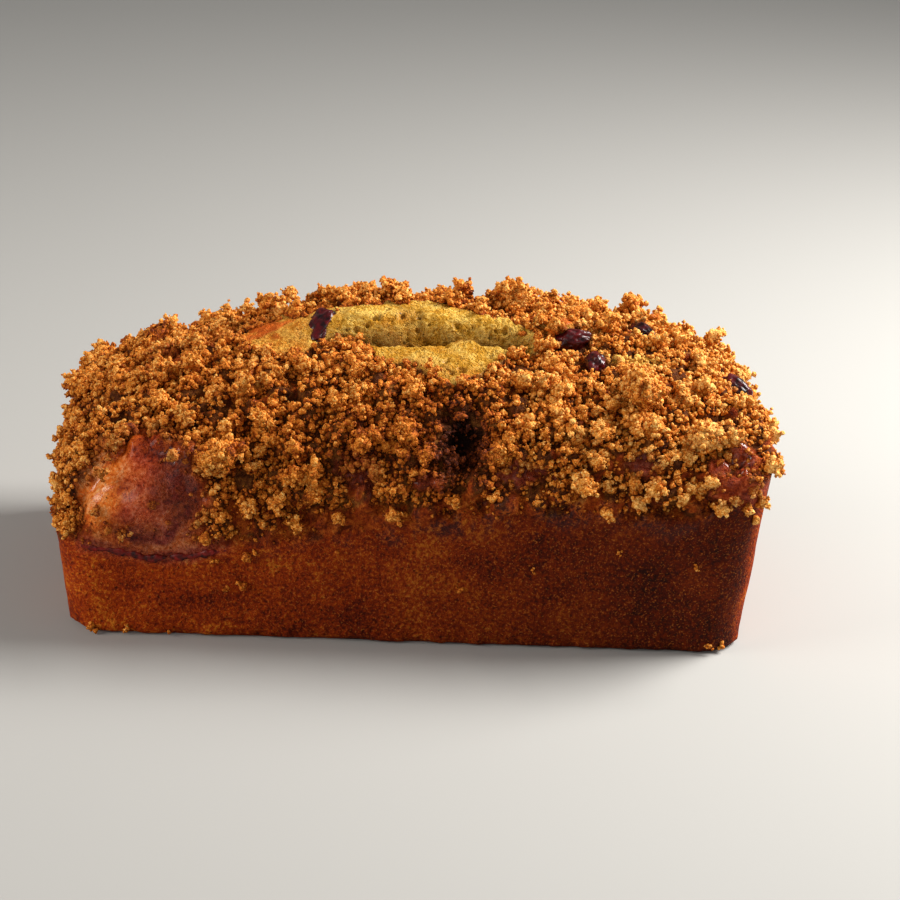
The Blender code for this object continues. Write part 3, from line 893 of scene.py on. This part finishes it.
for piece, places, owner in bits:
    points = readPoints(piece)
    # Painted light and shade: bits that stand out are coloured lighter, bits in the gaps darker
    setMask(piece, "tipLightGapShade", standingOut(points, places, owner))
    setMask(piece, "juice", juiceReach(points))
    setMask(piece, "pale", 1 - smoothStep(0.6, 1.3, spotReach(points, skinSpots, ("crumbWindow",))))
    # Painted shade: crumble coloured darker in and round the hollow and across the middle of the front
    dark = 1.3 * hump(points[:, 0] - hollow["x"] + 3, 7.5, points[:, 2] - hollow["z"] + 3, 9.0)
    dark = dark + 0.30 * hump(points[:, 0] + 5, 34, points[:, 2] - 60, 15)
    setMask(piece, "shaded", np.minimum(1.0, dark) * smoothStep(-26, -38, points[:, 1]))
print("crumble done")


# Cherries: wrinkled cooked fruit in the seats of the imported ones

cherryLooks = {  # turn about the upright in degrees, and length, width and height as shares of its size
    "cherry_left_of_split": (78, (0.66, 0.36, 0.22)),
    "cherry_right_of_split": (10, (0.54, 0.34, 0.30)),
    "cherry_front_right": (100, (0.50, 0.36, 0.28)),
    "cherry_crown": (20, (0.50, 0.36, 0.30)),
    "cherry_right_end": (60, (0.58, 0.42, 0.36)),
}


def makeCherry(index, name):
    turn, shares = cherryLooks[name]
    middle, normal, length = seatOf(name)
    clearSelection()
    bpy.ops.mesh.primitive_ico_sphere_add(subdivisions=5, radius=1)
    fruit = bpy.context.object
    fruit.name = fruit.data.name = name + "_fruit"
    ball = readPoints(fruit) * mm
    dent = 1 + 0.30 * unevenness(ball * 1.3 + np.array([index * 3.7, 0, 0]), 1.0)
    wrinkle = 1 + 0.07 * unevenness(ball, 0.22, 31 + index) + 0.14 * unevenness(ball, 0.5, 41 + index)
    shaped = ball * np.array(shares) * length * (dent * wrinkle)[:, None]
    upright = Vector(normal).to_track_quat("Z", "Y") @ Matrix.Rotation(math.radians(turn), 3, "Z").to_quaternion()
    writePoints(fruit, shaped @ np.array(upright.to_matrix()).T + middle)
    fruit.data.shade_smooth()
    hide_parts(name)
    return fruit


fruits = [makeCherry(index, name) for index, name in enumerate(cherries)]


# Sticky juice that boiled out at the foot of the bare mound, where the dome meets the tin line

jam = {"from": -97.0, "to": -50.0, "thickness": 0.62, "below": -0.2}


def makeJamLine():
    clearSelection()
    bpy.ops.mesh.primitive_uv_sphere_add(segments=20, ring_count=150, radius=1)
    strip = bpy.context.object
    strip.name = strip.data.name = "juiceLine"
    ball = readPoints(strip) * mm
    share = (ball[:, 2] + 1) / 2
    x = jam["from"] + (jam["to"] - jam["from"]) * share
    t = np.full(len(x), -1.0)
    wallX, wallY = outline(x / (tin["baseLength"] / 2 + tin["flare"] * 30), t, 30.0)
    z = tinLine(wallX, wallY) + jam["below"] - sag["depth"] * hump(x - sag["x"], sag["reach"], 0, 1)
    z = z + 0.8 * unevenness(np.stack([x, 0 * x, 0 * x], -1), 7.0, 51)
    belly = np.maximum(1 - np.abs(ball[:, 2]) ** 6, 0) ** 0.5
    path = np.stack([x, 0 * x, 0 * x], -1)
    thick = jam["thickness"] * belly * (1 + 1.3 * unevenness(path, 3.2, 52) + 0.8 * unevenness(path, 1.1, 53))
    around = np.arctan2(ball[:, 1], ball[:, 0])
    lumpy = 1 + 0.15 * unevenness(np.stack([x, np.cos(around) * 2, np.sin(around) * 2], -1), 1.2, 54)
    points = np.stack([wallX, wallY + 0.30 + 0.75 * thick * np.cos(around) * lumpy,
                       z + 1.15 * thick * np.sin(around) * lumpy], -1)
    writePoints(strip, points)
    strip.data.shade_smooth()
    return strip


juiceLine = makeJamLine()
print("cherries and juice done")


# Finishes

def newFinish(name):
    finish = bpy.data.materials.new(name)
    finish.use_nodes = True
    tree = finish.node_tree
    return finish, tree, tree.nodes["Principled BSDF"]


def grainScale(size):  # a texture's scale for a pattern of this size in millimetres
    return 1000.0 / size


def ovenCrust():
    # Cake crust baked against a greased tin: matt red-brown, finely pitted, with pale specks of sugar.
    # Risen free it is orange-brown; torn open it shows pale pistachio crumb, coloured darker in its open
    # bubbles and creases as painted shade; where cherry juice boiled over, it is wine red and half glossy
    finish, tree, shader = newFinish("ovenCrust")
    place = addNode(tree, "ShaderNodeTexCoord", {}, "Object")
    masks = {name: addNode(tree, "ShaderNodeAttribute", {}, "Fac", attribute_name=name)
             for name in ("under", "domed", "torn", "skin", "scorched", "crumb", "soaked", "juice", "lees", "wet", "hole", "crease",
                          "mound", "glazed", "litEndWall")}
    noises = {name: addNode(tree, "ShaderNodeTexNoise",
                            {"Vector": place, "Scale": grainScale(size), "Detail": detail, "Roughness": 0.62})
              for name, size, detail in (("broad", 22, 3), ("patch", 6, 4), ("grain", 1.2, 4), ("fine", 0.6, 2))}
    sums = {}
    for name, first, share, second in (("wall", "broad", 0.45, "grain"), ("foam", "patch", 0.55, "grain"),
                                       ("rosy", "broad", 0.50, "grain"), ("free", "patch", 0.50, "grain")):
        sums[name] = addNode(tree, "ShaderNodeMix", {0: 1 - share, 2: noises[first], 3: noises[second]})
    sides = addNode(tree, "ShaderNodeValToRGB", {0: sums["wall"]},
                    stops=((0.37, "#541202"), (0.46, "#8a2a03"), (0.54, "#ac4006"), (0.65, "#da8022")))
    # Painted shade: a darker copy of the sides' colours, mixed in more towards the right; the right end wall keeps most
    # of the lighter copy as painted light
    shadedSides = addNode(tree, "ShaderNodeValToRGB", {0: sums["wall"]},
                     stops=((0.37, "#280802"), (0.47, "#4c1302"), (0.56, "#641f03"), (0.67, "#80360a")))
    along = addNode(tree, "ShaderNodeSeparateXYZ", {0: place})
    shadeToRight = addNode(tree, "ShaderNodeMapRange", {0: along, 1: -0.08, 2: 0.07, 3: 0.1, 4: 1.0})
    inFront = addNode(tree, "ShaderNodeMath", {0: masks["litEndWall"], 1: -0.75, 2: 1.0}, operation="MULTIPLY_ADD")
    shadeToRight = addNode(tree, "ShaderNodeMath", {0: shadeToRight, 1: inFront}, operation="MULTIPLY")
    sides = addNode(tree, "ShaderNodeMix", {0: shadeToRight, 6: sides, 7: shadedSides}, 2, data_type="RGBA")
    bubbles = addNode(tree, "ShaderNodeTexVoronoi", {"Vector": place, "Scale": grainScale(2.1)})
    # Painted shade: the pits are coloured dark, as the shade inside them
    pits = addNode(tree, "ShaderNodeMapRange", {0: bubbles, 1: 0.08, 2: 0.24, 3: 0.55, 4: 0.0})
    sides = addNode(tree, "ShaderNodeMix", {0: pits, 6: sides, 7: fromHex("#3a1206")}, 2, data_type="RGBA")
    specks = addNode(tree, "ShaderNodeMapRange", {0: noises["fine"], 1: 0.58, 2: 0.70, 3: 0.0, 4: 0.5})
    sides = addNode(tree, "ShaderNodeMix", {0: specks, 6: sides, 7: fromHex("#b86e2c")}, 2, data_type="RGBA")
    risen = addNode(tree, "ShaderNodeValToRGB", {0: sums["free"]},
                    stops=((0.36, "#541604"), (0.48, "#86320a"), (0.58, "#ac5216"), (0.68, "#cc8038")))
    # Painted shade: the crust under the crumble is coloured darker, as the shade between the bits
    under = addNode(tree, "ShaderNodeValToRGB", {0: sums["free"]},
                    stops=((0.36, "#2e1206"), (0.50, "#55290d"), (0.64, "#85501d")))
    risen = addNode(tree, "ShaderNodeMix", {0: masks["under"], 6: risen, 7: under}, 2, data_type="RGBA")
    colour = addNode(tree, "ShaderNodeMix", {0: masks["domed"], 6: sides, 7: risen}, 2, data_type="RGBA")
    cells = addNode(tree, "ShaderNodeTexVoronoi", {"Vector": place, "Scale": grainScale(1.0), "Detail": 1.0})
    walls = addNode(tree, "ShaderNodeMapRange", {0: cells, 1: 0.10, 2: 0.62, 3: -0.09, 4: 0.09})
    spongy = addNode(tree, "ShaderNodeMath", {0: sums["foam"], 1: walls}, operation="ADD")
    golden = addNode(tree, "ShaderNodeValToRGB", {0: spongy},
                     stops=((0.34, "#7e3c0a"), (0.44, "#a85c0e"), (0.54, "#bc741a"), (0.66, "#d8a044")))
    colour = addNode(tree, "ShaderNodeMix", {0: masks["skin"], 6: colour, 7: golden}, 2, data_type="RGBA")
    scorch = addNode(tree, "ShaderNodeMath", {0: masks["scorched"], 1: 0.75}, operation="MULTIPLY")
    colour = addNode(tree, "ShaderNodeMix", {0: scorch, 6: colour, 7: fromHex("#bf4a10")}, 2, data_type="RGBA")
    crumb = addNode(tree, "ShaderNodeValToRGB", {0: spongy},
                    stops=((0.34, "#764607"), (0.44, "#a67012"), (0.54, "#c38b22"), (0.66, "#e6ba5a")))
    # Painted shade: the crumb is coloured darker in its creases and in the crevice under the lip
    creases = addNode(tree, "ShaderNodeMath", {0: masks["crease"], 1: 0.8}, operation="MULTIPLY")
    crumb = addNode(tree, "ShaderNodeMix", {0: creases, 6: crumb, 7: fromHex("#6a4008")}, 2, data_type="RGBA")
    toasted = addNode(tree, "ShaderNodeMapRange", {0: noises["broad"], 1: 0.50, 2: 0.66, 3: 0.0, 4: 0.55})
    crumb = addNode(tree, "ShaderNodeMix", {0: toasted, 6: crumb, 7: fromHex("#c4741c")}, 2, data_type="RGBA")
    # Painted shade: the crumb's open bubbles are coloured darker, as the shade inside them
    holes = addNode(tree, "ShaderNodeMapRange", {0: bubbles, 1: 0.05, 2: 0.20, 3: 0.6, 4: 0.0})
    crumb = addNode(tree, "ShaderNodeMix", {0: holes, 6: crumb, 7: fromHex("#6b4715")}, 2, data_type="RGBA")
    colour = addNode(tree, "ShaderNodeMix", {0: masks["crumb"], 6: colour, 7: crumb}, 2, data_type="RGBA")
    syrupy = addNode(tree, "ShaderNodeMapRange", {0: noises["grain"], 1: 0.42, 2: 0.56, 3: 1.0, 4: 0.15})
    syrupy = addNode(tree, "ShaderNodeMath", {0: syrupy, 1: masks["soaked"]}, operation="MULTIPLY")
    colour = addNode(tree, "ShaderNodeMix", {0: syrupy, 6: colour, 7: fromHex("#3d1006")}, 2, data_type="RGBA")
    # The bare mound: orange crust painted lighter on its left as lit from the left, turning wine red towards its right,
    # partly juice stain and partly painted shade
    amber = addNode(tree, "ShaderNodeValToRGB", {0: sums["rosy"]},
                    stops=((0.36, "#8a2c08"), (0.46, "#c8560f"), (0.54, "#e67c28"), (0.66, "#f6b070")))
    colour = addNode(tree, "ShaderNodeMix", {0: masks["mound"], 6: colour, 7: amber}, 2, data_type="RGBA")
    wine = addNode(tree, "ShaderNodeValToRGB", {0: sums["rosy"]},
                   stops=((0.36, "#5a1006"), (0.46, "#98300f"), (0.54, "#bc5030"), (0.66, "#d4886a")))
    lees = addNode(tree, "ShaderNodeValToRGB", {0: sums["rosy"]},
                   stops=((0.36, "#180202"), (0.46, "#480c06"), (0.54, "#6a1c10"), (0.66, "#944030")))
    wine = addNode(tree, "ShaderNodeMix", {0: masks["lees"], 6: wine, 7: lees}, 2, data_type="RGBA")
    soaked = addNode(tree, "ShaderNodeMapRange", {0: noises["patch"], 1: 0.3, 2: 0.6, 3: 0.7, 4: 1.0})
    soaked = addNode(tree, "ShaderNodeMath", {0: soaked, 1: masks["juice"]}, operation="MULTIPLY")
    colour = addNode(tree, "ShaderNodeMix", {0: soaked, 6: colour, 7: wine}, 2, data_type="RGBA")
    # Painted shadow: the deep hollow in the crumble is coloured near black
    colour = addNode(tree, "ShaderNodeMix", {0: masks["hole"], 6: colour, 7: fromHex("#1c0a04")}, 2, data_type="RGBA")
    tree.links.new(colour, shader.inputs["Base Color"])
    dry = addNode(tree, "ShaderNodeMapRange", {0: noises["grain"], 1: 0.3, 2: 0.7, 3: 0.62, 4: 0.85})
    gloss = addNode(tree, "ShaderNodeMapRange", {0: noises["fine"], 1: 0.35, 2: 0.65, 3: 0.26, 4: 0.48})
    tree.links.new(addNode(tree, "ShaderNodeMix", {0: masks["wet"], 2: dry, 3: gloss}), shader.inputs["Roughness"])
    syrup = addNode(tree, "ShaderNodeMath", {0: masks["wet"], 1: 0.15}, operation="MULTIPLY")
    syrup = addNode(tree, "ShaderNodeMath", {0: masks["glazed"], 1: 0.8, 2: syrup}, operation="MULTIPLY_ADD")
    tree.links.new(syrup, shader.inputs["Coat Weight"])
    shader.inputs["Coat Roughness"].default_value = 0.16
    shader.inputs["Specular IOR Level"].default_value = 0.08
    height = addNode(tree, "ShaderNodeMath", {0: noises["grain"], 1: noises["fine"]}, operation="ADD")
    height = addNode(tree, "ShaderNodeMath", {0: height, 1: pits}, operation="SUBTRACT")
    sponge = addNode(tree, "ShaderNodeMath", {0: masks["torn"], 1: cells}, operation="MULTIPLY")
    height = addNode(tree, "ShaderNodeMath", {0: height, 1: sponge}, operation="ADD")
    tree.links.new(addNode(tree, "ShaderNodeBump", {"Strength": 1.0, "Distance": 0.0006, "Height": height}),
                   shader.inputs["Normal"])
    return finish


def bakedCrumble():
    # Butter, flour, brown sugar and ground pistachio baked to hard granules: sandy and matt, painted golden at
    # the tips as light and toffee brown in the gaps as shade, with a glint of sugar here and there
    finish, tree, shader = newFinish("bakedCrumble")
    place = addNode(tree, "ShaderNodeTexCoord", {}, "Object")
    sandy = addNode(tree, "ShaderNodeTexNoise",
                    {"Vector": place, "Scale": grainScale(0.55), "Detail": 3.0, "Roughness": 0.65})
    broad = addNode(tree, "ShaderNodeTexNoise", {"Vector": place, "Scale": grainScale(8), "Detail": 3.0})
    masks = {name: addNode(tree, "ShaderNodeAttribute", {}, "Fac", attribute_name=name)
             for name in ("tone", "tipLightGapShade", "juice", "pale", "shaded")}
    factor = addNode(tree, "ShaderNodeMapRange", {0: sandy, 1: 0.3, 2: 0.7, 3: -0.16, 4: 0.44})
    # Painted light and shade: lighter at the tips and darker in the gaps between clumps
    for source, share in ((masks["tone"], 0.20), (masks["tipLightGapShade"], 0.36), (broad, 0.24)):
        factor = addNode(tree, "ShaderNodeMath", {0: source, 1: share, 2: factor}, operation="MULTIPLY_ADD")
    along = addNode(tree, "ShaderNodeSeparateXYZ", {0: place})
    # Painted light: the crumble is coloured paler towards the right end, where the key light falls
    litToRight = addNode(tree, "ShaderNodeMapRange", {0: along, 1: 0.01, 2: 0.09, 3: -0.02, 4: 0.08})
    factor = addNode(tree, "ShaderNodeMath", {0: factor, 1: litToRight}, operation="ADD")
    # Painted shade: the shaded mask moves the colour towards the dark end of the ramp
    factor = addNode(tree, "ShaderNodeMath", {0: masks["shaded"], 1: -0.45, 2: factor}, operation="MULTIPLY_ADD")
    colour = addNode(tree, "ShaderNodeValToRGB", {0: factor},
                     stops=((0.14, "#401402"), (0.34, "#853806"), (0.52, "#b65c0b"), (0.72, "#da8626"), (0.90, "#f2bc68")))
    for mask, tint in (("pale", "#d8ac50"), ("juice", "#641c12")):
        share = addNode(tree, "ShaderNodeMath", {0: masks[mask], 1: 0.75}, operation="MULTIPLY")
        colour = addNode(tree, "ShaderNodeMix", {0: share, 6: colour, 7: fromHex(tint)}, 2, data_type="RGBA")
    tree.links.new(colour, shader.inputs["Base Color"])
    glint = addNode(tree, "ShaderNodeMapRange", {0: sandy, 1: 0.58, 2: 0.70, 3: 0.75, 4: 0.40})
    tree.links.new(glint, shader.inputs["Roughness"])
    rough = addNode(tree, "ShaderNodeTexNoise", {"Vector": place, "Scale": grainScale(1.0), "Detail": 3.0})
    tree.links.new(addNode(tree, "ShaderNodeBump", {"Strength": 1.0, "Distance": 0.0010, "Height": rough}),
                   shader.inputs["Normal"])
    shader.inputs["Specular IOR Level"].default_value = 0.18
    return finish


def cookedFruit(name, deep, bright, roughness, coat):
    # Cherry flesh and juice cooked to a syrup: nearly black red, glossy in places
    finish, tree, shader = newFinish(name)
    place = addNode(tree, "ShaderNodeTexCoord", {}, "Object")
    streak = addNode(tree, "ShaderNodeTexNoise", {"Vector": place, "Scale": grainScale(2.2), "Detail": 4.0})
    colour = addNode(tree, "ShaderNodeValToRGB", {0: streak}, stops=((0.38, deep), (0.66, bright)))
    tree.links.new(colour, shader.inputs["Base Color"])
    tree.links.new(addNode(tree, "ShaderNodeBump", {"Strength": 0.5, "Distance": 0.0006, "Height": streak}),
                   shader.inputs["Normal"])
    shader.inputs["Roughness"].default_value = roughness
    shader.inputs["Coat Weight"].default_value = coat
    shader.inputs["Coat Roughness"].default_value = 0.15
    shader.inputs["Specular IOR Level"].default_value = 0.2
    return finish


for layer, values in coreZones.items():
    setMask(loafCrust, layer, values)
loafCrust.data.shade_smooth()

finishes = {
    "crust": ovenCrust(),
    "crumble": bakedCrumble(),
    "cherry": cookedFruit("cookedCherry", "#160205", "#560b10", 0.34, 0.25),
    "juice": cookedFruit("cherrySyrup", "#2a0403", "#7c160c", 0.36, 0.0),
}
scattered = [piece for piece, _, _ in bits] + [strays]
for piece in scattered:
    piece.data.materials.append(finishes["crumble"])
for piece in fruits:
    piece.data.materials.append(finishes["cherry"])
loafCrust.data.materials.append(finishes["crust"])
juiceLine.data.materials.append(finishes["juice"])
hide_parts("loaf_cake")
for piece in (loafCrust, juiceLine, *scattered, *fruits):
    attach(piece, "root")
print("finishes on")


# Pale floor, soft studio light and the camera

stage = {
    "floorSize": 6.0,
    "cameraAt": (0.0123566, -0.7173469, 0.3331659),
    "lookDown": 22.0,
    "roll": 1.9946,
    "lens": 98.908,
}
lights = {  # place, size, power in watts and colour
    "keyLight": ((0.58, 0.14, 0.54), 0.4, 14.8, "#fffcf6"),
    "leftLight": ((-1.0, -0.32, 0.42), 0.6, 8.0, "#fff8ee"),
    "frontLight": ((-0.4, -1.5, 0.9), 1.0, 4.2, "#ffffff"),
}


def makeStage():
    clearSelection()
    bpy.ops.mesh.primitive_plane_add(size=stage["floorSize"])
    floor = bpy.context.object
    floor.name = "floor"
    finish, _, shader = newFinish("paleFloor")
    shader.inputs["Base Color"].default_value = fromHex("#a6a5a3")
    shader.inputs["Roughness"].default_value = 0.85
    floor.data.materials.append(finish)
    for name, (place, size, power, colour) in lights.items():
        lamp = bpy.data.lights.new(name, "AREA")
        lamp.size = size
        lamp.energy = power
        lamp.color = fromHex(colour)[:3]
        holder = bpy.data.objects.new(name, lamp)
        holder.location = place
        holder.rotation_euler = (Vector((0, 0, 0.05)) - Vector(place)).to_track_quat("-Z", "Y").to_euler()
        holder.visible_camera = False
        bpy.context.scene.collection.objects.link(holder)
    world = bpy.data.worlds.new("studio")
    world.use_nodes = True
    world.node_tree.nodes["Background"].inputs["Color"].default_value = fromHex("#f2f1ef")
    world.node_tree.nodes["Background"].inputs["Strength"].default_value = 0.24
    bpy.context.scene.world = world
    bpy.context.scene.view_settings.view_transform = "Standard"
    camera = bpy.data.objects.new("camera", bpy.data.cameras.new("camera"))
    camera.location = stage["cameraAt"]
    tilt = Matrix.Rotation(math.radians(90 - stage["lookDown"]), 3, "X")
    camera.rotation_euler = (tilt @ Matrix.Rotation(math.radians(stage["roll"]), 3, "Z")).to_euler()
    camera.data.lens = stage["lens"]
    bpy.context.scene.collection.objects.link(camera)
    bpy.context.scene.camera = camera


makeStage()
